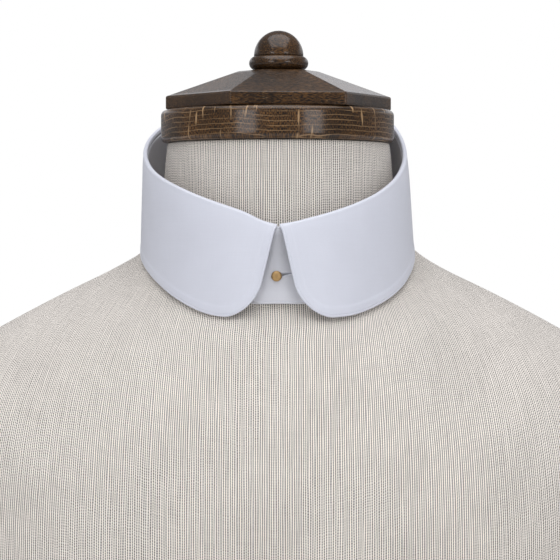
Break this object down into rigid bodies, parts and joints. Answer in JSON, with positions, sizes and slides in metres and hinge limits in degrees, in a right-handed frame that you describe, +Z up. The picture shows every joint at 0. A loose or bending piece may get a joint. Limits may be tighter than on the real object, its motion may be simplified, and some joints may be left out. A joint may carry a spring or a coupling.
{
  "type": "detachable shirt collar on a dress form",
  "caption": "Starched white club collar with a brass stud, worn closed round the neck of a linen-covered dress form with a dark wooden neck cap.",
  "frame": {"origin": "middle of the form's flat base, on the surface it rests on", "axes": "+X across the shoulders to the wearer's left, +Y from the front to the back, +Z up"},
  "size_m": [0.3806, 0.2141, 0.2821],
  "materials": {
    "cotton": "starched, smooth, faintly blue white",
    "brass": "polished",
    "linen": "unbleached, coarse upright ribs",
    "dark_wood": "dark stained oak, waxed"
  },
  "bodies": {
    "root": {"collar_leaf": "cotton", "collar_band": "cotton", "collar_stud": "brass", "form_body": "linen", "neck_ring": "dark_wood", "neck_cap": "dark_wood", "neck_knob": "dark_wood"}
  },
  "joints": []
}
